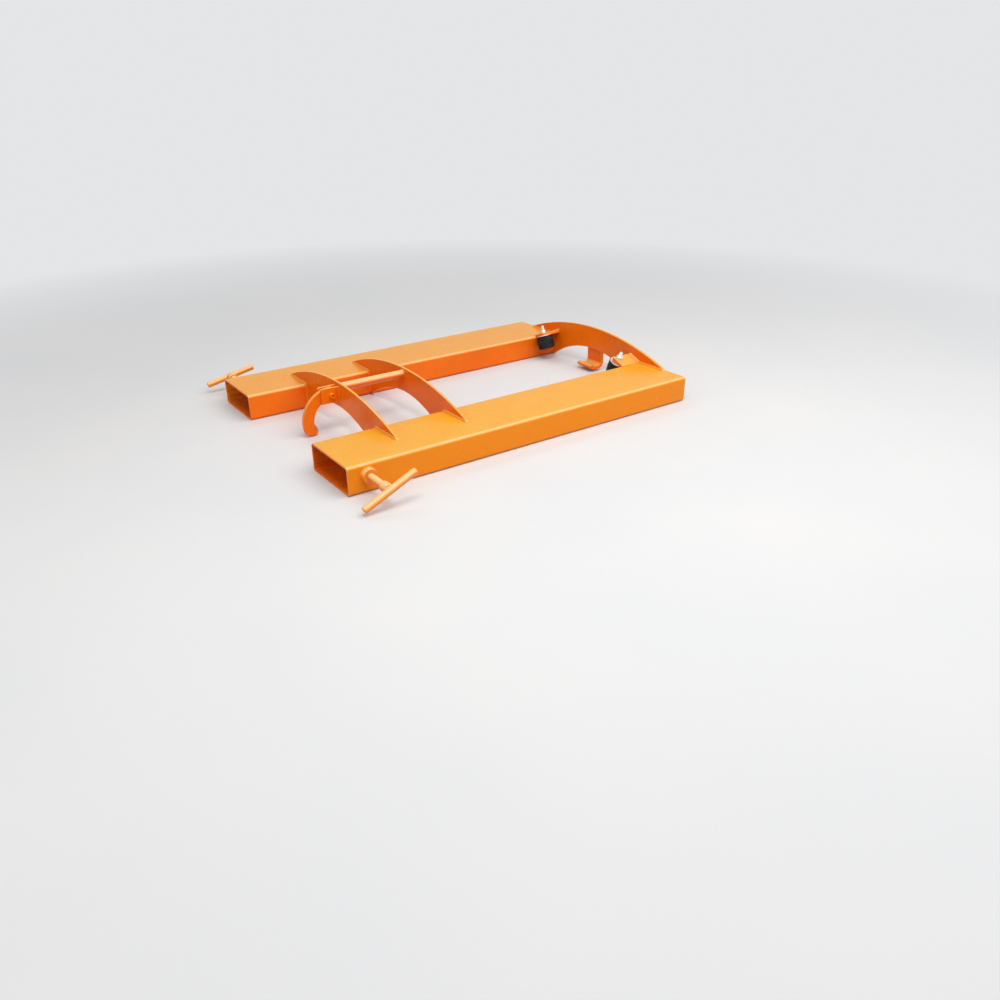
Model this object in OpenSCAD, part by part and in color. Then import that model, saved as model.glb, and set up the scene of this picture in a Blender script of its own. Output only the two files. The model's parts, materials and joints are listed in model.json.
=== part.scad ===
// Lifting attachment with two long pockets, three arch plates, a self-closing rim hook at the rear,
// a fixed rim claw at the front, two rubber buffers and two clamp screws with swivel pads.
// Millimetres. +X points forward, from the pocket mouths to the front arch, and +Z points up.
// The origin lies under the middle of the whole part, on the plane it stands on.

/* [Pockets] */
// Outside width of one pocket
pocket_w = 174; // [140:1:220]
// Outside height of one pocket
pocket_h = 66; // [66:1:100]
// Length of the pockets from the mouth to the front end
pocket_l = 990; // [900:5:1200]
// Wall thickness of the pocket section
pocket_wall = 4; // [3:0.5:6]
// Outside corner radius of the pocket section
pocket_corner = 8; // [7:0.5:12]
// Clear distance between the two pockets
pocket_gap = 378; // [366:2:440]

/* [Arch plates] */
// Thickness of the rear and the middle arch plate
arch_t = 6; // [5:0.5:10]
// Thickness of the front arch plate
front_arch_t = 8; // [6:0.5:12]
// Height of the arch crest above the pockets' top
arch_rise = 57; // [54:1:75]
// Length of each arch foot along the pocket's top, from the pocket's inner wall
arch_foot = 98; // [60:1:120]
// Height of the blunt tip at the end of each arch foot
arch_tip_h = 3; // [2:0.5:6]
// Distance from the pocket mouths to the rear face of the rear arch
rear_arch_x = 158; // [150:1:220]
// Distance from the rear arch to the middle arch
arch_pitch = 184; // [120:1:260]
// Radius of the round bay under the arches
bay_r = 310; // [305:1:330]
// Distance of the bay's crest below the pockets' top
bay_crest_drop = 5; // [0:1:8]
// Distance of the arch legs' lower ends above the standing plane
leg_lift = 2; // [1:0.5:8]

/* [Tie rod] */
// Diameter of the tie rod between the rear and the middle arch
tie_d = 20; // [12:1:24]
// Distance of the tie rod's axis below the arch crest
tie_depth = 15; // [12:1:24]

/* [Hook lugs] */
// Length of the lugs, from the rear face of the rear arch
lug_l = 47; // [40:1:60]
// Height of the lugs
lug_h = 38; // [37:0.5:44]
// Thickness of each lug
lug_t = 6; // [5:0.5:10]
// Height of the lugs' lower edge above the pockets' top
lug_base = 10.5; // [9.5:0.5:14]
// Radius of the lugs' two rear corners
lug_corner = 4; // [2:0.5:8]
// Distance of the hook's pivot from the rear face of the rear arch
pivot_reach = 20; // [19:0.5:24]

/* [Hook] */
// Thickness of the hook plate
hook_t = 10; // [8:0.5:20]
// Clearance between the hook and each lug
hook_side_gap = 0.5; // [0.3:0.1:1]
// Inner radius of the hook's curve
hook_in_r = 53.5; // [50:0.5:57]
// Outer radius of the hook's curve
hook_out_r = 81.5; // [78:0.5:83]
// Distance from the centre of the hook's curve to the pivot
hook_pivot_r = 63.5; // [62:0.5:64.5]
// Direction from the centre of the hook's curve to the pivot, in degrees above +X
hook_start_angle = 94; // [90:1:100]
// Direction from the centre of the hook's curve to the nose, in degrees above +X
hook_end_angle = 192.5; // [186:0.5:193]
// Radius of the round eye at the pivot
hook_eye_r = 18; // [16:0.5:18.5]
// Radius of the round nose at the lower end
hook_nose_r = 16; // [14:0.5:17]
// Length of the lip, from the nose centre to the lip centre
hook_lip_l = 10; // [7:0.5:11]
// Radius of the lip's round end
hook_lip_r = 10; // [9:0.5:11]
// Downward tilt of the lip, in degrees
hook_lip_tilt = 38; // [0:1:42]
// Height of the heel that rests on the rear arch when the hook is closed
heel_h = 14; // [8:0.5:18]
// Gap between the heel and the rear arch when the hook is closed
heel_gap = 0.3; // [0.2:0.1:0.6]

/* [Hook bolt] */
// Diameter of the hook's pivot bolt
bolt_d = 8; // [6:1:10]
// Radial running clearance of the hook on its bolt
pivot_play = 0.05; // [0.02:0.01:0.1]
// Radial clearance of the bolt in the lugs
lug_play = 0.25; // [0.1:0.05:0.5]
// Diameter of the bolt's round head
bolt_head_d = 13; // [12:0.5:18]
// Height of the bolt's round head
bolt_head_h = 8; // [6:0.5:10]
// Size across the flats of the socket in the bolt head
bolt_socket_flats = 6; // [4:0.5:8]
// Depth of the socket in the bolt head
bolt_socket_depth = 4; // [2:0.5:5]
// Size across the flats of the bolt's nut
bolt_nut_flats = 13; // [12:0.5:17]
// Height of the bolt's nut
bolt_nut_h = 6.5; // [5:0.5:8]
// Outside diameter of the washer under the nut
bolt_washer_d = 16; // [14:1:20]
// Thickness of the washer under the nut
bolt_washer_t = 1.5; // [1:0.5:2.5]
// Length of the bolt past its nut
bolt_tail = 3; // [1:0.5:8]

/* [Front claw] */
// Width of the claw
claw_w = 60; // [40:1:100]
// Thickness of the claw strap
claw_t = 10; // [8:0.5:11]
// Height of the claw's upper edge above the pockets' top
claw_top = 40; // [20:1:44]
// Distance of the claw's underside below the pockets' top
claw_drop = 60; // [56:1:62]
// Inner radius of the claw's main bend
claw_bend_r = 10; // [6:0.5:14]
// Straight length of the claw's foot between its two bends
claw_foot = 14; // [8:0.5:24]
// Inner radius of the bend under the upturned nose
claw_nose_bend_r = 8; // [5:0.5:12]
// Angle by which the nose turns up, in degrees
claw_nose_turn = 75; // [40:1:85]

/* [Buffers] */
// Length of the buffer tabs along the pocket, from the front arch
tab_l = 64; // [62:1:100]
// Reach of the buffer tabs along their slope, from the pocket's inner wall
tab_reach = 34; // [33:0.5:50]
// Lap of the buffer tabs onto the pocket's top, along their slope
tab_lap = 9; // [4:1:10]
// Height of the buffer tabs' upper face above the pocket's top, at the inner wall
tab_lift = 4.5; // [4:0.5:6]
// Thickness of the buffer tabs
tab_t = 8; // [6:0.5:10]
// Upward slope of the buffer tabs towards the middle, in degrees
tab_slope = 22; // [18:1:25]
// Distance of the buffers' axis from the front arch
buffer_setback = 51; // [45:1:53]
// Distance of the buffers' axis from the pocket's inner wall, along the slope
buffer_reach = 22; // [21.5:0.5:23]
// Diameter of the rubber buffers
buffer_d = 50; // [40:1:51]
// Height of the rubber buffers with their bonded disc
buffer_h = 40; // [25:1:45]
// Diameter of the bonded steel disc, which is a little smaller than the rubber
disc_d = 45; // [30:1:50]
// Thickness of the bonded steel disc
disc_t = 2; // [1:0.5:4]
// Diameter of the buffer stud
stud_d = 10; // [8:1:12]
// Radial clearance of the stud in its tab
stud_play = 0.5; // [0.3:0.1:1]
// Length of the stud past its nut
stud_tail = 12; // [2:0.5:20]
// Size across the flats of the stud's nut
stud_flats = 17; // [16:0.5:19]
// Height of the stud's nut
stud_nut_h = 8; // [6:0.5:10]
// Outside diameter of the stud's washer
stud_washer_d = 20; // [18:1:24]
// Thickness of the stud's washer
stud_washer_t = 2; // [1:0.5:3]

/* [Clamp screws] */
// Distance of the screw axis from the pocket mouths
screw_x = 47; // [30:1:90]
// Height of the screw axis above the standing plane
screw_z = 40; // [28:0.5:40]
// Diameter of the spindle
screw_d = 16; // [14:1:20]
// Radial running clearance of the spindle in its boss
screw_play = 0.05; // [0.02:0.01:0.1]
// Radial clearance of the spindle in the pocket wall
wall_play = 0.5; // [0.3:0.1:1]
// Outside diameter of the welded boss
boss_d = 34; // [30:1:40]
// Length of the welded boss
boss_l = 13; // [8:0.5:16]
// Distance from the pocket's outer wall to the spindle head
head_reach = 68; // [60:1:90]
// Diameter of the spindle head
head_d = 24; // [22:0.5:30]
// Length of the spindle head
head_l = 22; // [14:0.5:30]
// Diameter of the cross bar
bar_d = 16; // [12:1:20]
// Length of the cross bar
bar_l = 135; // [100:1:144]
// Depth to which the cross bar sits in the spindle head
bar_seat = 3; // [1:0.5:5]
// Chamfer at the ends of the cross bar and on the spindle head
bar_chamfer = 1.5; // [0.5:0.25:2]
// Upward tilt of the right cross bar towards the front, in degrees
right_bar_tilt = 24; // [0:1:28]
// Upward tilt of the left cross bar towards the front, in degrees
left_bar_tilt = 12; // [0:1:28]

/* [Swivel pads] */
// Diameter of the swivel pads
pad_d = 28; // [24:0.5:36]
// Thickness of the swivel pads
pad_t = 10; // [9:0.5:14]
// Gap between a drawn-back pad and the pocket wall
pad_gap = 0.5; // [0.3:0.1:2]
// Diameter of the spindle tip in the pad
tip_d = 12; // [11:0.5:13]
// Depth of the spindle tip in the pad
tip_l = 6; // [5:0.25:7]
// Radial running clearance of the spindle tip in the pad
tip_play = 0.05; // [0.02:0.01:0.1]
// End clearance of the spindle tip and its shoulder in the pad
tip_end_gap = 0.3; // [0.2:0.1:0.5]
// Thickness of the retaining ring
ring_t = 1.2; // [0.8:0.1:1.6]
// Width of the retaining ring's section
ring_w = 1.5; // [1.2:0.1:1.8]
// Depth of the ring in the tip's groove
ring_hold = 0.6; // [0.4:0.1:0.8]
// Clearance of the ring in the tip's groove
ring_gap = 0.3; // [0.2:0.1:0.4]
// Clearance of the ring in the pad's groove
ring_seat_gap = 0.1; // [0.05:0.05:0.2]

/* [Hidden] */
$fn = 96;
paint = "#ec7c1c";
zinc = "#d4d6d8";
black_rubber = "#1d1f22";
bare_steel = "#9a9ca0";
right = -1;
left = 1;
overcut = 1;

wall_in_y = pocket_gap / 2;
wall_out_y = wall_in_y + pocket_w;
pocket_mid_y = (wall_in_y + wall_out_y) / 2;
top_outer = [-1, 1];
top_inner = [1, 1];
bottom_outer = [-1, -1];
bottom_inner = [1, -1];

arch_half_span = wall_in_y + arch_foot;
arch_sag = arch_rise - arch_tip_h;
arch_r = (pow(arch_half_span, 2) + pow(arch_sag, 2)) / (2 * arch_sag);
crest_z = pocket_h + arch_rise;
bay_axis_z = pocket_h - bay_crest_drop - bay_r;
middle_arch_x = rear_arch_x + arch_pitch;
front_arch_x = pocket_l - front_arch_t;
front_face_x = pocket_l;

hook_gap = hook_t + 2 * hook_side_gap;
lug_out_y = hook_gap / 2 + lug_t;
pivot_x = rear_arch_x - pivot_reach;
pivot_z = pocket_h + lug_base + lug_h / 2;
curve_centre = [pivot_x, pivot_z] - hook_pivot_r * heading(hook_start_angle);
nose_centre = curve_centre + (hook_out_r - hook_nose_r) * heading(hook_end_angle);
lip_centre = nose_centre + hook_lip_l * heading(-hook_lip_tilt);
nut_seat_y = lug_out_y + bolt_washer_t;

claw_main_bend = [front_face_x - claw_bend_r, pocket_h - claw_drop + claw_t + claw_bend_r];
claw_nose_bend = [claw_main_bend[0] - claw_foot, pocket_h - claw_drop + claw_t + claw_nose_bend_r];

stud_l = tab_t + stud_washer_t + stud_nut_h + stud_tail;

tip_in_y = wall_out_y - pocket_wall - pad_gap - tip_l;
pad_out_y = wall_out_y - pocket_wall - pad_gap;
shoulder_y = pad_out_y + tip_end_gap;
head_in_y = wall_out_y + head_reach;
head_out_y = head_in_y + head_l;
bar_y = head_out_y - bar_seat + bar_d / 2;
ring_mid_y = (tip_in_y + pad_out_y) / 2;
ring_in_r = tip_d / 2 - ring_hold;

rear_end_x = screw_x - max(bar_reach(right_bar_tilt), bar_reach(left_bar_tilt));
front_end_x = front_face_x + claw_t;
middle_x = (rear_end_x + front_end_x) / 2;

// Unit vector at an angle in degrees.
function heading(angle) = [cos(angle), sin(angle)];

// Centre of one of the four round corners of the right pocket's section.
function corner_centre(corner) = [
    corner[0] * (pocket_w / 2 - pocket_corner) - pocket_mid_y,
    corner[1] * (pocket_h / 2 - pocket_corner) + pocket_h / 2
];

// How far a tilted cross bar reaches to the rear of its screw axis.
function bar_reach(tilt) = bar_l / 2 * cos(tilt) + (bar_d / 2 - bar_chamfer) * sin(tilt);

// Moves a shape from the mouth-based measuring frame to the part's own origin.
module placed() {
    translate([-middle_x, 0, 0]) children();
}

// Puts a shape that is drawn on the right side on either side of the middle plane.
module on_side(side) {
    placed() mirror([0, side == left ? 1 : 0, 0]) children();
}

// Extrudes a Y-Z outline forward from x.
module plate_across(x, thickness) {
    translate([x, 0, 0]) rotate([90, 0, 90]) linear_extrude(thickness) children();
}

// Extrudes an X-Z outline over a width that is centred on y.
module plate_along(y, thickness) {
    translate([0, y + thickness / 2, 0]) rotate([90, 0, 0]) linear_extrude(thickness) children();
}

// Cylinder along +Y, starting at y on the axis through x and z.
module rod_y(x, y, z, d, length) {
    translate([x, y, z]) rotate([-90, 0, 0]) cylinder(d = d, h = length);
}

// Cylinder along +Z with a chamfer at both ends.
module chamfered_rod(d, length, chamfer) {
    cylinder(d1 = d - 2 * chamfer, d2 = d, h = chamfer);
    translate([0, 0, chamfer]) cylinder(d = d, h = length - 2 * chamfer);
    translate([0, 0, length - chamfer]) cylinder(d1 = d, d2 = d - 2 * chamfer, h = chamfer);
}

// Six-sided prism along +Z.
module hex_prism(flats, height) {
    cylinder(d = flats / cos(30), h = height, $fn = 6);
}

// Flat ring along +Z.
module washer(d, hole_d, thickness) {
    difference() {
        cylinder(d = d, h = thickness);
        translate([0, 0, -overcut]) cylinder(d = hole_d, h = thickness + 2 * overcut);
    }
}

// Rectangle with round corners, from its lower left corner.
module rounded_rect(w, h, r) {
    translate([r, 0]) square([w - 2 * r, h]);
    translate([0, r]) square([w, h - 2 * r]);
    for (y = [r, w - r], z = [r, h - r]) translate([y, z]) circle(r = r);
}

// Two round ends of different radius, joined by their outer tangents.
module tapered_link(p1, r1, p2, r2) {
    run = norm(p2 - p1);
    aim = atan2(p2[1] - p1[1], p2[0] - p1[0]);
    spread = acos((r1 - r2) / run);
    translate(p1) circle(r = r1);
    translate(p2) circle(r = r2);
    polygon([
        p1 + r1 * heading(aim + spread),
        p1 + r1 * heading(aim - spread),
        p2 + r2 * heading(aim - spread),
        p2 + r2 * heading(aim + spread)
    ]);
}

// Part of a ring between two angles that are less than 120 degrees apart.
module ring_sector(inner, outer, from, to) {
    far = 2 * outer;
    intersection() {
        difference() {
            circle(r = outer);
            circle(r = inner);
        }
        polygon([[0, 0], far * heading(from), far * heading((from + to) / 2), far * heading(to)]);
    }
}

// Outer outline of the right pocket in the Y-Z plane.
module pocket_outline() {
    translate([-wall_out_y, 0]) rounded_rect(pocket_w, pocket_h, pocket_corner);
}

// Section of the right pocket: a tube with round corners.
module pocket_section() {
    hollow_w = pocket_w - 2 * pocket_wall;
    hollow_h = pocket_h - 2 * pocket_wall;
    difference() {
        pocket_outline();
        translate([pocket_wall - wall_out_y, pocket_wall])
            rounded_rect(hollow_w, hollow_h, pocket_corner - pocket_wall);
    }
}

// One side of the right pocket, mitred in the middle of the two corners at its ends.
module pocket_side(first, second) {
    far = 2 * pocket_corner;
    plate_across(0, pocket_l) intersection() {
        pocket_section();
        polygon([
            corner_centre(first),
            corner_centre(first) + far * first,
            corner_centre(second) + far * second,
            corner_centre(second)
        ]);
    }
}

module right_pocket_roof() {
    color(paint) on_side(right) pocket_side(top_outer, top_inner);
}

module left_pocket_roof() {
    color(paint) on_side(left) pocket_side(top_outer, top_inner);
}

module right_pocket_floor() {
    color(paint) on_side(right) pocket_side(bottom_inner, bottom_outer);
}

module left_pocket_floor() {
    color(paint) on_side(left) pocket_side(bottom_inner, bottom_outer);
}

module right_pocket_inner_wall() {
    color(paint) on_side(right) pocket_side(top_inner, bottom_inner);
}

module left_pocket_inner_wall() {
    color(paint) on_side(left) pocket_side(top_inner, bottom_inner);
}

// Right pocket's outer wall, drilled for the clamp spindle near the mouth.
module pocket_outer_wall() {
    difference() {
        pocket_side(bottom_outer, top_outer);
        rod_y(screw_x, -wall_out_y - overcut, screw_z, screw_d + 2 * wall_play, pocket_wall + 2 * overcut);
    }
}

module right_pocket_outer_wall() {
    color(paint) on_side(right) pocket_outer_wall();
}

module left_pocket_outer_wall() {
    color(paint) on_side(left) pocket_outer_wall();
}

// Arch between a large circle above and the round bay below, down to the legs' lower ends.
module arch_outline() {
    difference() {
        intersection() {
            translate([0, crest_z - arch_r]) circle(r = arch_r);
            translate([-arch_half_span, leg_lift]) square([2 * arch_half_span, crest_z]);
        }
        translate([0, bay_axis_z]) circle(r = bay_r);
    }
}

// Arch outline notched to sit on the pockets' top and against their inner walls.
module saddle_outline() {
    difference() {
        arch_outline();
        for (side = [right, left])
            mirror([side == left ? 1 : 0, 0])
                translate([-arch_half_span - overcut, leg_lift - overcut])
                    square([arch_foot + overcut, pocket_h - leg_lift + overcut]);
    }
}

module rear_arch() {
    color(paint) placed() plate_across(rear_arch_x, arch_t) saddle_outline();
}

module middle_arch() {
    color(paint) placed() plate_across(middle_arch_x, arch_t) saddle_outline();
}

// The front arch is flush with the pockets' front ends.
module front_arch() {
    color(paint) placed() plate_across(front_arch_x, front_arch_t) saddle_outline();
}

module tie_rod() {
    color(paint) placed() translate([rear_arch_x + arch_t, 0, crest_z - tie_depth])
        rotate([0, 90, 0]) cylinder(d = tie_d, h = arch_pitch - arch_t);
}

// Right lug: a drilled plate with two round rear corners, square against the rear arch.
module hook_lug() {
    difference() {
        plate_along(-lug_out_y + lug_t / 2, lug_t) {
            translate([rear_arch_x - lug_l, pocket_h + lug_base]) rounded_rect(lug_l, lug_h, lug_corner);
            translate([rear_arch_x - lug_l / 2, pocket_h + lug_base]) square([lug_l / 2, lug_h]);
        }
        rod_y(pivot_x, -lug_out_y - overcut, pivot_z, bolt_d + 2 * lug_play, lug_t + 2 * overcut);
    }
}

module right_hook_lug() {
    color(paint) on_side(right) hook_lug();
}

module left_hook_lug() {
    color(paint) on_side(left) hook_lug();
}

// Curved band from the eye to the nose, with a lip that reaches forward and a heel that stops on the arch.
module hook_outline() {
    translate(curve_centre) ring_sector(hook_in_r, hook_out_r, hook_start_angle, hook_end_angle);
    translate([pivot_x, pivot_z]) circle(r = hook_eye_r);
    translate([pivot_x, pivot_z - heel_h]) square([pivot_reach - heel_gap, heel_h]);
    tapered_link(nose_centre, hook_nose_r, lip_centre, hook_lip_r);
}

module hook() {
    color(paint) placed() difference() {
        plate_along(0, hook_t) hook_outline();
        rod_y(pivot_x, -hook_t, pivot_z, bolt_d + 2 * pivot_play, 2 * hook_t);
    }
}

// Socket-head bolt: its head lies on the right lug and its thread end on the left.
module hook_bolt() {
    shank_l = lug_out_y + nut_seat_y + bolt_nut_h + bolt_tail;
    color(paint) placed() translate([pivot_x, -lug_out_y, pivot_z]) rotate([-90, 0, 0]) difference() {
        union() {
            cylinder(d = bolt_d, h = shank_l);
            translate([0, 0, -bolt_head_h]) cylinder(d = bolt_head_d, h = bolt_head_h);
        }
        translate([0, 0, -bolt_head_h - overcut])
            hex_prism(bolt_socket_flats, bolt_socket_depth + overcut);
    }
}

module hook_washer() {
    color(paint) placed() translate([pivot_x, lug_out_y, pivot_z]) rotate([-90, 0, 0])
        washer(bolt_washer_d, bolt_d + 2 * lug_play, bolt_washer_t);
}

module hook_nut() {
    color(paint) placed() translate([pivot_x, nut_seat_y, pivot_z]) rotate([-90, 0, 0]) difference() {
        hex_prism(bolt_nut_flats, bolt_nut_h);
        translate([0, 0, -overcut]) cylinder(d = bolt_d + 2 * pivot_play, h = bolt_nut_h + 2 * overcut);
    }
}

// Bent strap: a leg on the front arch, a quarter bend, a foot, and a nose that turns up under the rim.
module claw_outline() {
    translate([front_face_x, claw_main_bend[1]])
        square([claw_t, pocket_h + claw_top - claw_main_bend[1]]);
    translate(claw_main_bend) ring_sector(claw_bend_r, claw_bend_r + claw_t, 270, 360);
    translate([claw_nose_bend[0], pocket_h - claw_drop]) square([claw_foot, claw_t]);
    translate(claw_nose_bend)
        ring_sector(claw_nose_bend_r, claw_nose_bend_r + claw_t, 270 - claw_nose_turn, 270);
}

module front_claw() {
    color(paint) placed() plate_along(0, claw_w) claw_outline();
}

// Frame of a buffer tab: origin on its upper face at the inner wall and the front arch, y up the slope.
module on_tab(side) {
    on_side(side) translate([front_arch_x, -wall_in_y, pocket_h + tab_lift])
        rotate([tab_slope, 0, 0]) children();
}

// Frame of the buffer: origin on the tab's upper face, z along the stud.
module on_buffer(side) {
    on_tab(side) translate([-buffer_setback, buffer_reach, 0]) children();
}

// Sloped plate that laps onto the pocket, scribed to its round edge, and drilled for the stud.
module buffer_tab(side) {
    color(paint) difference() {
        on_tab(side) translate([-tab_l, -tab_lap, -tab_t]) cube([tab_l, tab_reach + tab_lap, tab_t]);
        on_side(side) plate_across(0, pocket_l) pocket_outline();
        on_buffer(side) translate([0, 0, -tab_t - overcut])
            cylinder(d = stud_d + 2 * stud_play, h = tab_t + 2 * overcut);
    }
}

module right_buffer_tab() {
    buffer_tab(right);
}

module left_buffer_tab() {
    buffer_tab(left);
}

module buffer_rubber(side) {
    color(black_rubber) on_buffer(side) translate([0, 0, -tab_t - buffer_h])
        cylinder(d = buffer_d, h = buffer_h - disc_t);
}

module right_buffer_rubber() {
    buffer_rubber(right);
}

module left_buffer_rubber() {
    buffer_rubber(left);
}

// Steel disc that is bonded to the rubber, with the stud that passes through the tab.
module buffer_stud(side) {
    color(zinc) on_buffer(side) translate([0, 0, -tab_t]) {
        translate([0, 0, -disc_t]) cylinder(d = disc_d, h = disc_t);
        cylinder(d = stud_d, h = stud_l);
    }
}

module right_buffer_stud() {
    buffer_stud(right);
}

module left_buffer_stud() {
    buffer_stud(left);
}

module buffer_washer(side) {
    color(zinc) on_buffer(side) washer(stud_washer_d, stud_d + 2 * stud_play, stud_washer_t);
}

module right_buffer_washer() {
    buffer_washer(right);
}

module left_buffer_washer() {
    buffer_washer(left);
}

module buffer_nut(side) {
    color(zinc) on_buffer(side) translate([0, 0, stud_washer_t]) difference() {
        hex_prism(stud_flats, stud_nut_h);
        translate([0, 0, -overcut]) cylinder(d = stud_d + 2 * pivot_play, h = stud_nut_h + 2 * overcut);
    }
}

module right_buffer_nut() {
    buffer_nut(right);
}

module left_buffer_nut() {
    buffer_nut(left);
}

// Frame of a clamp screw: z points out of the pocket along the screw axis, from the middle plane.
module on_screw(side) {
    on_side(side) translate([screw_x, 0, screw_z]) rotate([90, 0, 0]) children();
}

// Threaded boss on the pocket's outer wall.
module clamp_boss(side) {
    color(paint) on_screw(side) translate([0, 0, wall_out_y])
        washer(boss_d, screw_d + 2 * screw_play, boss_l);
}

module right_clamp_boss() {
    clamp_boss(right);
}

module left_clamp_boss() {
    clamp_boss(left);
}

// Cross bar through the spindle head's end, tilted about the screw axis.
module cross_bar(tilt) {
    translate([0, 0, bar_y]) rotate([0, 90, tilt]) translate([0, 0, -bar_l / 2]) children();
}

// Spindle with a grooved tip for the pad and a head that is hollowed to seat the cross bar.
module clamp_spindle(side, tilt) {
    groove_t = ring_t + 2 * ring_gap;
    color(paint) on_screw(side) difference() {
        union() {
            translate([0, 0, tip_in_y]) cylinder(d = tip_d, h = shoulder_y - tip_in_y);
            translate([0, 0, shoulder_y]) cylinder(d = screw_d, h = head_in_y - shoulder_y);
            translate([0, 0, head_in_y]) chamfered_rod(head_d, head_l, bar_chamfer);
        }
        cross_bar(tilt) cylinder(d = bar_d, h = bar_l);
        translate([0, 0, ring_mid_y - groove_t / 2])
            washer(screw_d, 2 * (ring_in_r - ring_gap), groove_t);
    }
}

module right_clamp_spindle() {
    clamp_spindle(right, right_bar_tilt);
}

module left_clamp_spindle() {
    clamp_spindle(left, left_bar_tilt);
}

module clamp_bar(side, tilt) {
    color(paint) on_screw(side) cross_bar(tilt) chamfered_rod(bar_d, bar_l, bar_chamfer);
}

module right_clamp_bar() {
    clamp_bar(right, right_bar_tilt);
}

module left_clamp_bar() {
    clamp_bar(left, left_bar_tilt);
}

// Pad with a blind socket for the spindle tip and an inner groove for the retaining ring.
module clamp_pad(side) {
    groove_t = ring_t + 2 * ring_seat_gap;
    socket_l = tip_l + tip_end_gap;
    color(bare_steel) on_screw(side) difference() {
        translate([0, 0, pad_out_y - pad_t]) cylinder(d = pad_d, h = pad_t);
        translate([0, 0, pad_out_y - socket_l]) cylinder(d = tip_d + 2 * tip_play, h = socket_l + overcut);
        translate([0, 0, ring_mid_y - groove_t / 2])
            cylinder(r = ring_in_r + ring_w + ring_seat_gap, h = groove_t);
    }
}

module right_clamp_pad() {
    clamp_pad(right);
}

module left_clamp_pad() {
    clamp_pad(left);
}

// Ring that keeps the pad on the spindle tip.
module clamp_ring(side) {
    color(bare_steel) on_screw(side) translate([0, 0, ring_mid_y - ring_t / 2])
        washer(2 * (ring_in_r + ring_w), 2 * ring_in_r, ring_t);
}

module right_clamp_ring() {
    clamp_ring(right);
}

module left_clamp_ring() {
    clamp_ring(left);
}

right_pocket_roof();
left_pocket_roof();
right_pocket_floor();
left_pocket_floor();
right_pocket_inner_wall();
left_pocket_inner_wall();
right_pocket_outer_wall();
left_pocket_outer_wall();
rear_arch();
middle_arch();
front_arch();
tie_rod();
right_hook_lug();
left_hook_lug();
hook();
hook_bolt();
hook_washer();
hook_nut();
front_claw();
right_buffer_tab();
left_buffer_tab();
right_buffer_rubber();
left_buffer_rubber();
right_buffer_stud();
left_buffer_stud();
right_buffer_washer();
left_buffer_washer();
right_buffer_nut();
left_buffer_nut();
right_clamp_boss();
left_clamp_boss();
right_clamp_spindle();
left_clamp_spindle();
right_clamp_bar();
left_clamp_bar();
right_clamp_pad();
left_clamp_pad();
right_clamp_ring();
left_clamp_ring();
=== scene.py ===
# %% [markdown]
# # A welded lifting frame
# The part is a frame of two long steel pockets, three arch plates, a swinging hook, a fixed claw,
# two rubber buffers and two clamp screws. Nearly all of it is painted orange after welding.
# The measured solids arrive as a fixed frame, and this lesson only adds what they leave out:
# finishes, softened edges, weld beads, threads, chamfers and the moulded shape of the rubber.

# %% Load the solids
import json
import math

import bmesh
import bpy
from mathutils import Matrix, Vector, noise


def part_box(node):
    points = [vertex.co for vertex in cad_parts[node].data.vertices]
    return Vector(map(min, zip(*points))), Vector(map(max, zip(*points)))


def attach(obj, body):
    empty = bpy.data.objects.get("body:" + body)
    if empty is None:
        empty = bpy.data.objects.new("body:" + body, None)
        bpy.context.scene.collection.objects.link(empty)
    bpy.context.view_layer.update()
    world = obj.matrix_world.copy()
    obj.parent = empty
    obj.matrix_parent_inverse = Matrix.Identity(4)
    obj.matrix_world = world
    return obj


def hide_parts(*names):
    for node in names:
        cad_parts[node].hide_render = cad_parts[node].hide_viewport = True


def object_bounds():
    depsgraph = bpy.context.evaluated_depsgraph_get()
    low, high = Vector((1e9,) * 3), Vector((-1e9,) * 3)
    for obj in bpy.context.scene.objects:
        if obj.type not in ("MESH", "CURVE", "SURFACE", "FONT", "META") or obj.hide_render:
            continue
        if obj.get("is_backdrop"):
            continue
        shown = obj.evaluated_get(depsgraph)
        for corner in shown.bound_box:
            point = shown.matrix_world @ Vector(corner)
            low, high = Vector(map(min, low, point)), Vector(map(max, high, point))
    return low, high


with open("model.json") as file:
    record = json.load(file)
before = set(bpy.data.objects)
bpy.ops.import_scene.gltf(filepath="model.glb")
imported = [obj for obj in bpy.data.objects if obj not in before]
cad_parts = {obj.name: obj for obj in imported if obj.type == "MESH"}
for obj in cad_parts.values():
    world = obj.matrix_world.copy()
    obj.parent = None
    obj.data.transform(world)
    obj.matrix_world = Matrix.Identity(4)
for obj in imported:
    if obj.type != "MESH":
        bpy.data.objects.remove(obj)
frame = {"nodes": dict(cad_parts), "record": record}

MM_PER_M = 1000

cad_low, cad_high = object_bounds()
print("solids:", len(frame["nodes"]), "box in mm:", [round(MM_PER_M * v) for v in cad_high - cad_low])

# %% [markdown]
# ## The viewpoint
# The object is seen from its right rear corner, from above the height of a table.
# A camera can be aimed by eye or worked out. Here the heading, the downward tilt and the small roll
# were found by laying the straight edges of the pockets over the picture, so they are written as
# angles.

# %% Camera
CAMERA_PLACE = Vector((-1.1496, -1.8331, 0.7775))
CAMERA_HEADING = math.radians(35.37)
CAMERA_DOWN = math.radians(26.43)
CAMERA_ROLL = math.radians(0.48)
CAMERA_LENS = 30.51
CAMERA_REACH = 100

forward = Vector((
    math.sin(CAMERA_HEADING) * math.cos(CAMERA_DOWN),
    math.cos(CAMERA_HEADING) * math.cos(CAMERA_DOWN),
    -math.sin(CAMERA_DOWN),
))
level_right = forward.cross(Vector((0, 0, 1))).normalized()
level_up = level_right.cross(forward)
right = math.cos(CAMERA_ROLL) * level_right - math.sin(CAMERA_ROLL) * level_up
up = right.cross(forward)
camera_turn = Matrix((right, up, -forward)).transposed().to_4x4()

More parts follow.
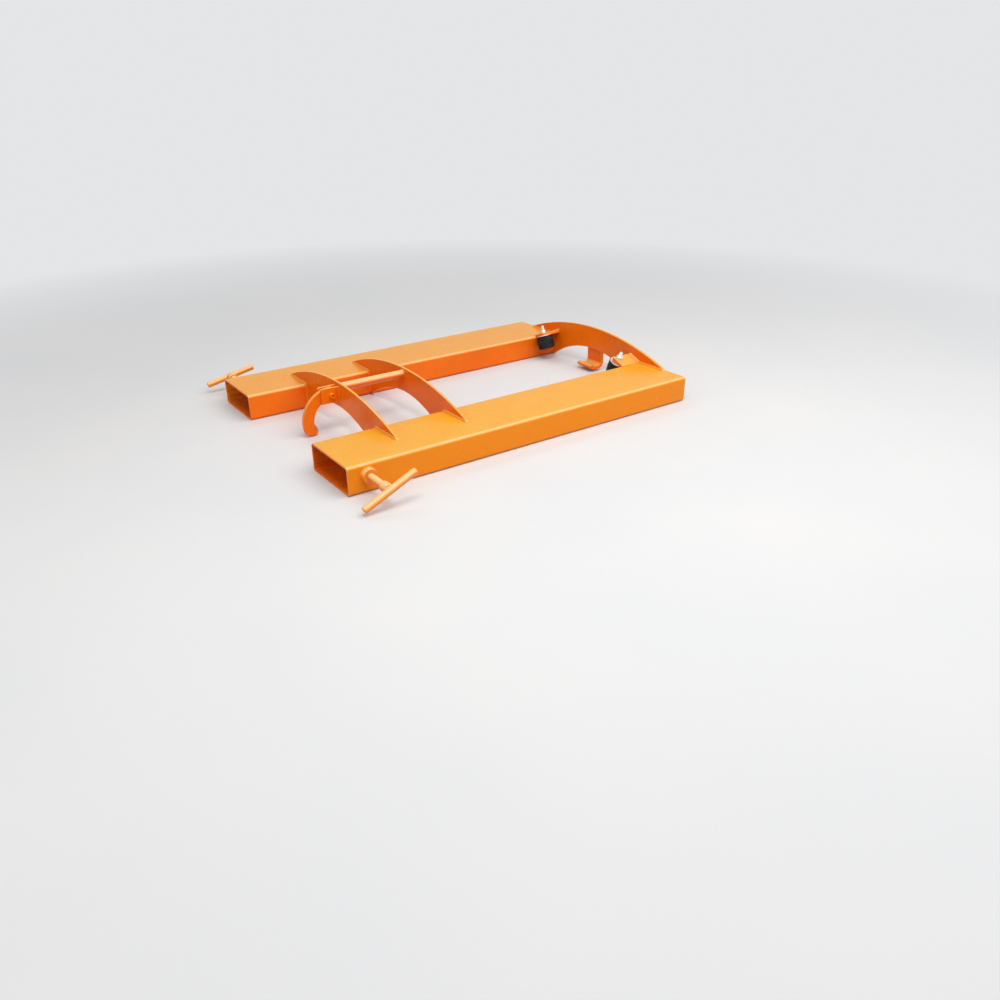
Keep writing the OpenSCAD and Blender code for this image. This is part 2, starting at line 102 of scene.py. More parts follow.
camera = bpy.data.objects.new("camera", bpy.data.cameras.new("camera"))
bpy.context.collection.objects.link(camera)
camera.data.lens = CAMERA_LENS
camera.data.clip_end = CAMERA_REACH
camera.matrix_world = Matrix.Translation(CAMERA_PLACE) @ camera_turn
bpy.context.scene.camera = camera
print("camera distance in m:", round(CAMERA_PLACE.length, 2))

# %% [markdown]
# ## Building finishes from nodes
# A finish is a small graph: textures in the object's own coordinates drive colour, roughness and
# bump. Such graphs can be drawn by hand in the node editor, but a script can repeat and change them.
# `graph` starts a material, `add` places a node and fills its sockets, and a value that comes from
# another node is given as that node's output.

# %% Node helpers
def graph(name):
    material = bpy.data.materials.new(name)
    material.use_nodes = True
    tree = material.node_tree
    return material, tree, tree.nodes["Principled BSDF"]


def fill(tree, node, sockets):
    for socket, value in sockets.items():
        if isinstance(value, bpy.types.NodeSocket):
            tree.links.new(value, node.inputs[socket])
        else:
            node.inputs[socket].default_value = value


def add(tree, kind, sockets=None, **settings):
    node = tree.nodes.new(kind)
    for key, value in settings.items():
        setattr(node, key, value)
    fill(tree, node, sockets or {})
    return node


def math_node(tree, operation, first, second=0.0):
    return add(tree, "ShaderNodeMath", {0: first, 1: second}, operation=operation).outputs[0]


def times(tree, first, second):
    return math_node(tree, "MULTIPLY", first, second)


def minus(tree, first, second):
    return math_node(tree, "SUBTRACT", first, second)


print("node helpers ready")

# %% [markdown]
# ## Clouds, colours and bumps
# Real surfaces vary from place to place, and soft noise in the object's own coordinates is the
# simplest model of that. Noise mostly stays near the middle of its range, so a band of it is spread
# over the limits that a finish needs. The colour mixer has several sockets of the same name, so its
# sockets are given by number.

# %% Texture helpers
SOFT_BAND, WIDE_BAND = (0.35, 0.65), (0.3, 0.7)
MIX_SHARE, MIX_FIRST, MIX_SECOND, MIX_RESULT = 0, 6, 7, 2


def place(tree):
    return add(tree, "ShaderNodeTexCoord").outputs["Object"]


def cloud(tree, spots, detail, stretch=None):
    """Soft noise between 0 and 1, in spots per metre. Stretch scales each axis first."""
    where = place(tree)
    if stretch:
        where = add(tree, "ShaderNodeMapping", {"Vector": where, "Scale": stretch}).outputs["Vector"]
    texture = add(tree, "ShaderNodeTexNoise", {"Vector": where, "Scale": spots, "Detail": detail})
    return texture.outputs["Fac"]


def spread(tree, value, low, high, to_low=0.0, to_high=1.0):
    """Maps a value between two limits to two others, and holds it there."""
    return add(tree, "ShaderNodeMapRange", {
        "Value": value, "From Min": low, "From Max": high, "To Min": to_low, "To Max": to_high,
    }).outputs["Result"]


def patches(tree, spots, band, limits=(0.0, 1.0), detail=3):
    """Cloudy patches: a band of the noise is spread between two limits."""
    return spread(tree, cloud(tree, spots, detail), *band, *limits)


def blend_colour(tree, share, first, second):
    sockets = {MIX_SHARE: share, MIX_FIRST: first, MIX_SECOND: second}
    return add(tree, "ShaderNodeMix", sockets, data_type="RGBA").outputs[MIX_RESULT]


def raised(tree, height, depth, strength=1.0, under=None):
    """A bump of the given depth in metres, on top of another one if there is one."""
    node = add(tree, "ShaderNodeBump", {"Height": height, "Distance": depth, "Strength": strength})
    if under:
        tree.links.new(under, node.inputs["Normal"])
    return node.outputs["Normal"]


print("texture helpers ready")

# %% [markdown]
# ## The colour of the paint
# The frame is sprayed after welding with one gloss orange. Upward faces are paler and yellower than
# the sides: partly a film of fine dust, partly a painted sheen of the bright sky above them. The left
# pocket's top gets a little less of it than the right one's. The outer long sides carry painted light:
# they are lighter and yellower than the inner walls. All this could be one flat colour, but then the
# long plain pockets would look like plastic. Inside a hollow the paint gets neither dust nor painted
# sheen and keeps its first colour.

# %% Paint colour
PAINT_DEEP = (0.80, 0.138, 0.002, 1)
PAINT_LIGHT = (0.86, 0.164, 0.003, 1)
# Dust and a painted sheen of the sky: upward faces mix towards this paler, yellower tone.
PAINT_DUST_AND_SHEEN = (0.755, 0.390, 0.022, 1)
# Painted light: the outer long sides mix towards this lighter, yellower tone.
PAINT_OUTSIDE_LIT = (0.84, 0.240, 0.003, 1)
OUTSIDE_FROM, OUTSIDE_TO = 0.320, 0.362
# How the dust and painted sheen change from the right pocket to the left one.
DUST_SHEEN_SHIFT, LEFT_DUST_SHEEN = 0.20, 0.85
TONE_SPOTS, DUST_SHEEN_SPOTS = 7, 22
DUST_SHEEN_FROM, DUST_SHEEN_TO, DUST_SHEEN_MOST = 0.12, 0.95, 0.85
DUST_SHEEN_SHARE = (0.85, 1.0)


def upward(tree):
    """How far a face looks up, from -1 to 1, in directions that turn with the piece."""
    facing = add(tree, "ShaderNodeTexCoord").outputs["Normal"]
    return add(tree, "ShaderNodeSeparateXYZ", {"Vector": facing}).outputs["Z"]


def paint_colour(tree, sheltered=None):
    tone = blend_colour(tree, patches(tree, TONE_SPOTS, SOFT_BAND), PAINT_DEEP, PAINT_LIGHT)
    across = add(tree, "ShaderNodeSeparateXYZ", {"Vector": place(tree)}).outputs["Y"]
    # Painted light: the outer long sides are lighter and yellower than the inner walls.
    outside = spread(tree, math_node(tree, "ABSOLUTE", across), OUTSIDE_FROM, OUTSIDE_TO)
    tone = blend_colour(tree, outside, tone, PAINT_OUTSIDE_LIT)
    # Dust and a painted sheen on faces that look up, a little less on the left pocket.
    upward_dust_sheen = spread(tree, upward(tree), DUST_SHEEN_FROM, DUST_SHEEN_TO, 0.0, DUST_SHEEN_MOST)
    patchy = patches(tree, DUST_SHEEN_SPOTS, WIDE_BAND, DUST_SHEEN_SHARE, detail=5)
    side_share = spread(tree, across, -DUST_SHEEN_SHIFT, DUST_SHEEN_SHIFT, 1.0, LEFT_DUST_SHEEN)
    dust_and_sheen = times(tree, side_share, times(tree, upward_dust_sheen, patchy))
    if sheltered:
        dust_and_sheen = times(tree, dust_and_sheen, minus(tree, 1.0, sheltered(tree)))
    return blend_colour(tree, dust_and_sheen, tone, PAINT_DUST_AND_SHEEN)


print("paint colour ready")

# %% [markdown]
# ## The paint as a finish
# The spray leaves a faint orange peel, and the plates under it are not perfectly flat, so two bumps
# lie on each other: long waves and a fine grain. What differs from piece to piece is left to masks,
# functions that draw a value between 0 and 1 over the surface. So one function makes every paint on
# the part, and each kind with wear or a painted highlight is only another choice of masks.

# %% Paint finish
# Painted highlight: the pale cream that the highlight masks mix in.
PAINT_HIGHLIGHT = (0.93, 0.53, 0.24, 1)
SCUFFED_STEEL = (0.24, 0.19, 0.16, 1)
SCUFF_ROUGHER, SCUFF_METAL = 0.12, 0.8
PAINT_SHINE, POLISHED_SHINE = 0.19, 0.45
PAINT_ROUGHNESS, ROUGHNESS_SPOTS = (0.20, 0.30), 40
WAVE_SPOTS, WAVE_DEPTH, WAVE_STRENGTH = 16, 0.0006, 0.35
PEEL_SPOTS, PEEL_DEPTH, PEEL_STRENGTH = 420, 0.00004, 0.15


def paint_relief(tree):
    waves = raised(tree, cloud(tree, WAVE_SPOTS, detail=1), WAVE_DEPTH, WAVE_STRENGTH)
    return raised(tree, cloud(tree, PEEL_SPOTS, detail=1), PEEL_DEPTH, PEEL_STRENGTH, under=waves)


def orange_paint(name, bare=None, highlight=None, sheltered=None, shine=PAINT_SHINE):
    """The paint, with masks for scuffs to steel, a painted highlight, and hollows without dust or sheen.
    """
    material, tree, shader = graph(name)
    colour = paint_colour(tree, sheltered)
    # A painted highlight where its mask says so.
    if highlight:
        colour = blend_colour(tree, highlight(tree), colour, PAINT_HIGHLIGHT)
    roughness = patches(tree, ROUGHNESS_SPOTS, WIDE_BAND, PAINT_ROUGHNESS, detail=4)
    if bare:
        mask = bare(tree)
        colour = blend_colour(tree, mask, colour, SCUFFED_STEEL)
        roughness = math_node(tree, "ADD", roughness, times(tree, mask, SCUFF_ROUGHER))
        fill(tree, shader, {"Metallic": times(tree, mask, SCUFF_METAL)})
    fill(tree, shader, {"Base Color": colour, "Roughness": roughness, "Normal": paint_relief(tree)})
    fill(tree, shader, {"Specular IOR Level": shine})
    return material


paint = orange_paint("orange_paint")
print("made", paint.name)

# %% [markdown]
# ## Measures of a pocket
# Many steps below have to know where the pockets lie. The two mirror each other across the middle of
# the part, so the left one is measured and stands for both. It arrives as four sides, and its box is
# the box round all of them.

# %% Pocket measures
POCKET_SIDES = ("roof", "floor", "inner_wall", "outer_wall")
POCKET_WALL = 0.004
POCKET_CORNER = 0.008

side_boxes = [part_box(f"left_pocket_{part}") for part in POCKET_SIDES]
pocket_low = Vector([min(low[k] for low, high in side_boxes) for k in range(3)])
pocket_high = Vector([max(high[k] for low, high in side_boxes) for k in range(3)])
pocket_mid = (pocket_low + pocket_high) / 2
pocket_size = pocket_high - pocket_low
print("pocket in mm:", [round(MM_PER_M * v) for v in pocket_size])

# %% [markdown]
# ## Wear and painted highlights on the pockets
# Inside the pockets the paint gets no dust or painted sheen, but steel slides in and out along it
# and scrapes it in long streaks. Their round upper corners get a painted highlight: a pale line along
# the upper part of each corner. Such marks could be painted by hand onto an unwrapped surface. Here
# the pockets are so regular that masks in the object's own coordinates do it: a box for each hollow,
# and the upper part of each corner's quarter circle.

# %% Pocket paint
# Where the painted highlight lies on each corner, and how patchy it is.
CORNER_HIGHLIGHT_LIFT = 0.0025
CORNER_HIGHLIGHT_EDGE = (0.0006, 0.0030)
CORNER_HIGHLIGHT_SPOTS = 30
HIGHLIGHT_BAND, HIGHLIGHT_SHARE = (0.25, 0.75), (0.55, 0.90)
HOLLOW_EDGE = 0.001
STREAK_STRETCH, STREAK_BAND, STREAK_SHARE = (3, 130, 130), (0.54, 0.68), 0.55


def in_pocket(tree):
    """Distance from a pocket's middle sideways, and height above its middle."""
    where = add(tree, "ShaderNodeSeparateXYZ", {"Vector": place(tree)})
    across = minus(tree, math_node(tree, "ABSOLUTE", where.outputs["Y"]), pocket_mid.y)
    return math_node(tree, "ABSOLUTE", across), minus(tree, where.outputs["Z"], pocket_mid.z)


# Painted highlight: a pale line along the upper part of each round corner of a pocket.
def corner_highlight(tree):
    beside, above = in_pocket(tree)
    beside = minus(tree, beside, pocket_size.y / 2 - POCKET_CORNER)
    above = minus(tree, above, pocket_size.z / 2 - POCKET_CORNER + CORNER_HIGHLIGHT_LIFT)
    corner = spread(tree, math_node(tree, "MINIMUM", beside, above), *CORNER_HIGHLIGHT_EDGE)
    return times(tree, corner, patches(tree, CORNER_HIGHLIGHT_SPOTS, HIGHLIGHT_BAND, HIGHLIGHT_SHARE, detail=4))


def pocket_hollow(tree):
    beside, above = in_pocket(tree)
    beside = minus(tree, pocket_size.y / 2 - POCKET_WALL / 2, beside)
    above = minus(tree, pocket_size.z / 2 - POCKET_WALL / 2, math_node(tree, "ABSOLUTE", above))
    return spread(tree, math_node(tree, "MINIMUM", beside, above), 0.0, HOLLOW_EDGE)


def scraped_hollow(tree):
    streaks = spread(tree, cloud(tree, 1.0, detail=5, stretch=STREAK_STRETCH), *STREAK_BAND)
    return times(tree, pocket_hollow(tree), times(tree, streaks, STREAK_SHARE))


# Scrapes in the hollows, a painted highlight on the corners, and no dust or painted sheen inside.
pocket_paint = orange_paint("pocket_paint", scraped_hollow, corner_highlight, pocket_hollow)
print("made", pocket_paint.name)

# %% [markdown]
# ## Painted highlights on the grips and plates, wear on the hook
# The bars, rods, bosses, spindles and a few beads get a pale painted highlight on the faces that look
# up, and a glossier paint. The plates, the lugs, the claw, the tabs and the hook get a weaker painted
# highlight the same way. The inner edge of the hook's lip is worn bare by what it holds. The
# highlight masks follow how a face is turned; on the lip a ball round its inner edge marks the place.

# %% Highlighted and worn paints
GRIP_SPOTS, GRIP_FACING = 60, 0.55
EDGE_HIGHLIGHT_SHARE = 0.3
HEEL_REACH = 0.020
LIP_BEHIND_PIVOT = 0.045
LIP_ABOVE_HOOK_FOOT = 0.022
LIP_RUB = 0.014
LIP_RUB_CORE = LIP_RUB / 3
LIP_SPOTS, LIP_BAND, LIP_SHARE = 110, (0.42, 0.70), (0.0, 0.7)

hook_low, hook_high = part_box("hook")
pivot_x = hook_high.x - HEEL_REACH
lip = Vector((pivot_x - LIP_BEHIND_PIVOT, 0, hook_low.z + LIP_ABOVE_HOOK_FOOT))


def rubbed_lip(tree):
    away = add(tree, "ShaderNodeVectorMath", {0: place(tree), 1: lip}, operation="DISTANCE")
    rub = spread(tree, away.outputs["Value"], LIP_RUB, LIP_RUB_CORE)
    return times(tree, rub, patches(tree, LIP_SPOTS, LIP_BAND, LIP_SHARE))


# Painted highlight: pale in patches on faces that look up.
def grip_highlight(tree):
    patchy = patches(tree, GRIP_SPOTS, HIGHLIGHT_BAND, HIGHLIGHT_SHARE, detail=4)
    return times(tree, spread(tree, upward(tree), 0.0, GRIP_FACING), patchy)


# A weaker painted highlight on faces that look up.
def edge_highlight(tree):
    return times(tree, grip_highlight(tree), EDGE_HIGHLIGHT_SHARE)


# The hook's lip is worn to bare steel; its upward faces get a weak painted highlight.
hook_paint = orange_paint("hook_paint", rubbed_lip, edge_highlight)
# Bars and rods: a strong painted highlight on upward faces, and a glossier paint.
grip_highlight_paint = orange_paint("grip_highlight_paint", highlight=grip_highlight, shine=POLISHED_SHINE)
# Plates and small parts: a weaker painted highlight on upward faces.
edge_highlight_paint = orange_paint("edge_highlight_paint", highlight=edge_highlight)
print("made", hook_paint.name, grip_highlight_paint.name, edge_highlight_paint.name)

# %% [markdown]
# ## Zinc plate
# The buffers' discs, studs, washers and nuts are zinc plated: bright, slightly blue or yellow in
# patches. A plain grey metal would do from afar, but the two tones, the uneven roughness and a fine
# grain tell plating from polished steel.

# %% Zinc finish
ZINC_BLUE = (0.76, 0.78, 0.82, 1)
ZINC_WARM = (0.82, 0.80, 0.74, 1)
ZINC_SPOTS = 90
ZINC_ROUGHNESS, ZINC_ROUGHNESS_SPOTS = (0.22, 0.42), 240
ZINC_GRAIN, ZINC_GRAIN_DEPTH, ZINC_GRAIN_STRENGTH = 1500, 0.00005, 0.4


def zinc_plate():
    material, tree, shader = graph("zinc_plate")
    grain = cloud(tree, ZINC_GRAIN, detail=2)
    fill(tree, shader, {
        "Base Color": blend_colour(tree, patches(tree, ZINC_SPOTS, SOFT_BAND), ZINC_BLUE, ZINC_WARM),
        "Roughness": patches(tree, ZINC_ROUGHNESS_SPOTS, WIDE_BAND, ZINC_ROUGHNESS, detail=4),
        "Normal": raised(tree, grain, ZINC_GRAIN_DEPTH, ZINC_GRAIN_STRENGTH),
        "Metallic": 1.0,
    })
    return material


zinc = zinc_plate()
print("made", zinc.name)

# %% [markdown]
# ## Black rubber
# The rubber is dull black with a fine grain and a little dust. A pure black would hide its round
# shape, so the dust lifts it in patches, and the grain breaks up the highlight.

# %% Rubber finish
RUBBER_BLACK = (0.005, 0.006, 0.007, 1)
RUBBER_DUSTY = (0.022, 0.023, 0.025, 1)
RUBBER_DUST_SPOTS, RUBBER_DUST_BAND = 60, (0.48, 0.75)
RUBBER_ROUGHNESS, RUBBER_ROUGHNESS_SPOTS = (0.52, 0.72), 130
RUBBER_GRAIN, RUBBER_GRAIN_DEPTH, RUBBER_GRAIN_STRENGTH = 1300, 0.0001, 0.5
RUBBER_SHINE = 0.25


def black_rubber():
    material, tree, shader = graph("black_rubber")
    dust = patches(tree, RUBBER_DUST_SPOTS, RUBBER_DUST_BAND, detail=5)
    grain = cloud(tree, RUBBER_GRAIN, detail=2)
    fill(tree, shader, {
        "Base Color": blend_colour(tree, dust, RUBBER_BLACK, RUBBER_DUSTY),
        "Roughness": patches(tree, RUBBER_ROUGHNESS_SPOTS, WIDE_BAND, RUBBER_ROUGHNESS),
        "Normal": raised(tree, grain, RUBBER_GRAIN_DEPTH, RUBBER_GRAIN_STRENGTH),
        "Specular IOR Level": RUBBER_SHINE,
    })
    return material


rubber = black_rubber()
print("made", rubber.name)

# %% [markdown]
# ## Turned steel
# The swivel pads and their rings inside the pockets are turned from plain steel, which shows as fine
# rings round the screw axis. Real grooves would need far too many faces, so a wave texture draws
# them as a bump. A mapping first moves the texture's centre onto the axis.

# %% Steel finish
STEEL_DARK = (0.30, 0.30, 0.31, 1)
STEEL_LIGHT = (0.46, 0.46, 0.47, 1)
STEEL_SPOTS = 120
STEEL_ROUGHNESS, STEEL_ROUGHNESS_SPOTS = (0.30, 0.48), 300
GROOVES, GROOVE_WANDER, GROOVE_DEPTH, GROOVE_STRENGTH = 220, 0.6, 0.00006, 0.5


def turned_steel():
    material, tree, shader = graph("turned_steel")
    screw_mid = sum(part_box("right_clamp_pad"), Vector()) / 2
    to_axis = (-screw_mid.x, 0, -screw_mid.z)
    local = add(tree, "ShaderNodeMapping", {"Vector": place(tree), "Location": to_axis}).outputs["Vector"]
    wave = {"Vector": local, "Scale": GROOVES, "Distortion": GROOVE_WANDER}
    grooves = add(tree, "ShaderNodeTexWave", wave, wave_type="RINGS", rings_direction="Y")
    tone = patches(tree, STEEL_SPOTS, SOFT_BAND, detail=4)
    fill(tree, shader, {
        "Base Color": blend_colour(tree, tone, STEEL_DARK, STEEL_LIGHT),
        "Roughness": patches(tree, STEEL_ROUGHNESS_SPOTS, WIDE_BAND, STEEL_ROUGHNESS),
        "Normal": raised(tree, grooves.outputs["Fac"], GROOVE_DEPTH, GROOVE_STRENGTH),
        "Metallic": 1.0,
    })
    return material


steel = turned_steel()
print("made", steel.name)

# %% [markdown]
# ## Softened edges
# Flame-cut and sheared plates are never razor sharp, so a bevel catches the light along their edges.
# The solids arrive as triangles with split corners. A weld modifier joins the corners, a planar
# decimate melts the triangles of each flat face into one, and only then can the bevel run cleanly
# along the true edges. Where two bevels meet, they can leave points on top of each other, so a
# second weld follows.

# %% Edge helper
JOIN_WITHIN = 0.00001
FLAT_WITHIN = math.radians(0.6)
CORNER_FROM = math.radians(38)
BEVEL_STEPS = 2
LARGE_FACE_WEIGHT = 80


def join_points(solid, name):
    join = solid.modifiers.new(name, "WELD")
    join.merge_threshold = JOIN_WITHIN


def soften(solid, width):
    join_points(solid, "join corners")
    flat = solid.modifiers.new("melt flat faces", "DECIMATE")
    flat.decimate_type = "DISSOLVE"
    flat.angle_limit = FLAT_WITHIN
    edge = solid.modifiers.new("soften edges", "BEVEL")
    edge.width = width
    edge.segments = BEVEL_STEPS
    edge.limit_method = "ANGLE"
    edge.angle_limit = CORNER_FROM
    join_points(solid, "join bevel points")
    even = solid.modifiers.new("even shading", "WEIGHTED_NORMAL")
    even.weight = LARGE_FACE_WEIGHT


print("edge helper ready")

# %% [markdown]
# ## Dressing the solids
# Every solid keeps its measured shape and gets its finish in its material slot. The record names one
# slot for all the paint, but the paints with wear or a painted highlight depend on the kind of piece,
# and the last word of a solid's name tells its kind. The widths of the softened edges go by the kind
# too.

# %% Finishes on the solids
FINISH_OF_SLOT = {"orange_paint": paint, "zinc_plate": zinc, "black_rubber": rubber, "bare_steel": steel}
# Bars, rods and bosses get the strong painted highlight; hook, arches, lugs, claw and tabs a weak one.
FINISH_OF_KIND = {
    "hook": hook_paint, "bar": grip_highlight_paint, "rod": grip_highlight_paint, "boss": grip_highlight_paint,
    "arch": edge_highlight_paint, "lug": edge_highlight_paint, "claw": edge_highlight_paint, "tab": edge_highlight_paint,
}
EDGE_OF_KIND = {
    "arch": 0.0009, "lug": 0.0010, "hook": 0.0014, "claw": 0.0012, "tab": 0.0010,
    "boss": 0.0010, "washer": 0.0004, "pad": 0.0006, "bar": 0.0004, "ring": 0.0002,
}
slot_of_node = {row["node"]: row["material_slot"] for row in frame["record"]["subparts"]}

for name, solid in frame["nodes"].items():
    kind = name.split("_")[-1]
    finish = FINISH_OF_KIND.get(kind, FINISH_OF_SLOT[slot_of_node[name]])
    if "pocket" in name:
        finish = pocket_paint
    solid.data.materials.clear()
    solid.data.materials.append(finish)
    if kind in EDGE_OF_KIND:
        soften(solid, EDGE_OF_KIND[kind])
print("dressed", len(frame["nodes"]), "solids")

# %% [markdown]
# ## A helper for new pieces
# New pieces are meshes written out point by point, in metres, in the same frame as the solids.
# `make_piece` builds the mesh, keeps its true corners sharp, gives it a finish and lets it ride on
# the body it belongs to, so it moves with that body's joint. `bridge_rings` lists the faces of any
# shape that is a row of rings with the same number of points.

# %% Piece helper
SHARP_CORNER = math.radians(32)


def make_piece(name, points, faces, finish, body):
    mesh = bpy.data.meshes.new(name)
    mesh.from_pydata([tuple(p) for p in points], [], faces)
    mesh.shade_smooth()
    mesh.set_sharp_from_angle(angle=SHARP_CORNER)
    mesh.materials.append(finish)
    piece = bpy.data.objects.new(name, mesh)
    bpy.context.collection.objects.link(piece)
    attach(piece, body)
    return piece


def bridge_rings(rings, count, closed):
    """Quads between rings of count points each, with flat ends or joined end to start."""
    faces = []
    for ring in range(rings if closed else rings - 1):
        here = ring * count
        there = (ring + 1) % rings * count
        for k in range(count):
            n = (k + 1) % count
            faces.append((here + k, here + n, there + n, there + k))
    if not closed:
        faces.append(tuple(reversed(range(count))))
        faces.append(tuple((rings - 1) * count + k for k in range(count)))
    return faces


print("piece helper ready")

# %% [markdown]
# ## One tube from four sides
# Each pocket arrives as four sides that meet on mitre lines in the middle of its round corners. The
# real pocket is one tube. It could be drawn anew, but pouring the four meshes together keeps the
# measured shape, and points that coincide are merged. The mitre faces are then buried in the steel
# and have to go: all their points lie as far past the corner's centre sideways as they lie past it
# in height.

# %% Pocket tubes
POCKET_EDGE = 0.0007
MITRE_WITHIN = 0.00002


def off_mitre(point):
    beside = abs(abs(point.y) - pocket_mid.y) - pocket_size.y / 2
    above = abs(point.z - pocket_mid.z) - pocket_size.z / 2
    return abs(beside - above)


for side_name in ("right", "left"):
    sides = [f"{side_name}_pocket_{part}" for part in POCKET_SIDES]
    tube = bmesh.new()
    for side in sides:
        tube.from_mesh(frame["nodes"][side].data)
    bmesh.ops.remove_doubles(tube, verts=tube.verts, dist=JOIN_WITHIN)
    buried = [face for face in tube.faces if max(off_mitre(v.co) for v in face.verts) < MITRE_WITHIN]
    bmesh.ops.delete(tube, geom=buried, context="FACES")
    tube.verts.index_update()
    points = [v.co.copy() for v in tube.verts]
    faces = [[v.index for v in face.verts] for face in tube.faces]
    open_edges = sum(1 for edge in tube.edges if not edge.is_manifold)
    tube.free()
    piece = make_piece(f"{side_name}_pocket_tube", points, faces, pocket_paint, "frame")
    soften(piece, POCKET_EDGE)
    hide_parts(*sides)
    print(piece.name, "buried faces:", len(buried), "open edges:", open_edges)

# %% [markdown]
# ## Seams
# The frame holds together by fillet welds: a bead of metal laid into the corner between two plates.
# A seam is where such a bead runs. It is a list of stations in short steps, and each station has a
# point in the corner and the directions along the two plates. Three kinds are enough for this part:
# a straight seam, a closed one round a rod, and one round a quarter circle.

# %% Seam helpers
BEAD_STEP = 0.0007


def straight_seam(start, end, first, second):
    count = max(2, round((end - start).length / BEAD_STEP))
    return [(start.lerp(end, k / count), first, second) for k in range(count + 1)]


def round_seam(centre, axis, radius):
    """A seam round a rod that stands on a plate, with the axis pointing away from the plate."""
    side = axis.orthogonal().normalized()
    count = round(math.tau * radius / BEAD_STEP)
    turns = [Matrix.Rotation(math.tau * k / count, 3, axis) @ side for k in range(count)]
    return [(centre + radius * out, axis, out) for out in turns]


def corner_seam(centre, radius, out, start, end):
    """A seam round a quarter circle, from one direction to another."""
    count = round(math.pi / 2 * radius / BEAD_STEP)
    turns = [math.pi / 2 * k / count for k in range(1, count)]
    normals = [math.cos(turn) * start + math.sin(turn) * end for turn in turns]
    return [(centre + radius * normal, out, normal) for normal in normals]


print("seam helpers ready")

# %% [markdown]
# ## Weld beads
# A bead could be a plain bent tube, but a real one is a row of overlapping crescents with a slightly
# uneven width. So at every station the section is a bulged chord between the two plates, and its
# size follows a small sawtooth that leads in the middle, which draws the crescents. Where the two
# directions of a seam are swapped, the skin would be inside out, so its faces are listed in reverse.

# %% Bead sweep
BEAD_SIDES = 6
BEAD_BULGE = 0.28
BEAD_RIPPLE = 0.0030
BEAD_RIPPLE_DEPTH = 0.40
BEAD_LEAD = 0.0016
BEAD_ROOT = 0.0006
BEAD_WANDER, WANDER_SPOTS = 0.10, 180
TAPER_LEAST, TAPER_LEGS = 0.45, 1.2


def sweep_bead(stations, leg, closed):
    points = []
    length = len(stations) * BEAD_STEP
    for step, (corner, first, second) in enumerate(stations):
        along = step * BEAD_STEP
        wander = 1 + BEAD_WANDER * noise.noise(corner * WANDER_SPOTS)
        to_end = min(along, length - along)
        taper = 1.0 if closed else min(1.0, TAPER_LEAST + to_end / (TAPER_LEGS * leg))
        for side in range(BEAD_SIDES + 1):
            share = side / BEAD_SIDES
            lead = BEAD_LEAD * math.sin(math.pi * share)
            crescent = (along + lead) / BEAD_RIPPLE % 1
            swell = 1 + BEAD_BULGE * math.sin(math.pi * share) * (1 - BEAD_RIPPLE_DEPTH * crescent)
            reach = leg * wander * taper * swell
            points.append(corner + reach * ((1 - share) * first + share * second))
        points.append(corner - BEAD_ROOT * (first + second))
    faces = bridge_rings(len(stations), BEAD_SIDES + 2, closed)
    corner, first, second = stations[0]
    if first.cross(second).dot(stations[1][0] - corner) < 0:
        faces = [tuple(reversed(face)) for face in faces]
    return points, faces


def weld(name, seams, leg, body="frame", finish=paint):
    """One piece for all the seams of a joint, each given with whether it closes on itself."""
    points, faces = [], []
    for stations, closed in seams:
        seam_points, seam_faces = sweep_bead(stations, leg, closed)
        offset = len(points)
        points += seam_points
        faces += [tuple(offset + index for index in face) for face in seam_faces]
    return make_piece(name, points, faces, finish, body)


print("bead helper ready")

# %% [markdown]
# ## Where the arches meet the pockets
# Each arch stands on the pockets' tops with its feet and reaches down their inner walls with its
# legs. The welder runs one bead up each leg, round the pocket's corner and along the foot, on each
# free face, and a thin one across the blunt tip of each foot. The front arch is flush with the
# pockets' ends, so it has a bead on its rear face only.

# %% Arch welds
X_AXIS, Y_AXIS, Z_AXIS = Vector((1, 0, 0)), Vector((0, 1, 0)), Vector((0, 0, 1))
SIDES = (("right", -1), ("left", 1))
WALL_IN = pocket_low.y
POCKET_TOP = pocket_high.z
FOOT_TIP_CLEAR = 0.0005
LEG_TIP_CLEAR = 0.004
ARCH_BEAD = 0.0042
TIP_BEAD = 0.0034
TIP_OVERLAP = 0.0022

for arch in ("rear_arch", "middle_arch", "front_arch"):
    arch_low, arch_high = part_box(arch)
    faces_of_arch = [(arch_low.x, -X_AXIS)]
    tip_end = arch_high.x
    if arch != "front_arch":
        faces_of_arch.append((arch_high.x, X_AXIS))
        tip_end += TIP_OVERLAP
    for side_name, side in SIDES:
        seams = []
        inward = -side * Y_AXIS
        for x, out in faces_of_arch:
            leg_down = Vector((x, side * WALL_IN, arch_low.z + LEG_TIP_CLEAR))
            leg_up = Vector((x, side * WALL_IN, POCKET_TOP - POCKET_CORNER))
            corner_mid = leg_up - POCKET_CORNER * inward
            foot_in = corner_mid + POCKET_CORNER * Z_AXIS
            foot_out = Vector((x, side * (arch_high.y - FOOT_TIP_CLEAR), POCKET_TOP))
            seam = straight_seam(leg_down, leg_up, out, inward)
            seam += corner_seam(corner_mid, POCKET_CORNER, out, inward, Z_AXIS)
            seam += straight_seam(foot_in, foot_out, out, Z_AXIS)
            seams.append((seam, False))
        weld(f"{side_name}_{arch}_weld", seams, ARCH_BEAD)
        tip_from = Vector((arch_low.x - TIP_OVERLAP, side * arch_high.y, POCKET_TOP))
        tip_to = Vector((tip_end, side * arch_high.y, POCKET_TOP))
        tip_seam = straight_seam(tip_from, tip_to, side * Y_AXIS, Z_AXIS)
        # The tip beads take the paint with the painted highlight on faces that look up.
        weld(f"{side_name}_{arch}_tip_weld", [(tip_seam, False)], TIP_BEAD, finish=grip_highlight_paint)
print("welded three arches")

# %% [markdown]
# ## Welds of the small fittings
# The tie rod, the clamp bosses and the hook's lugs are welded on in the same way. Their places come
# from the boxes of the solids, so a bead stays on its seam when a size changes. Round seams close on
# themselves, straight ones taper at their ends.

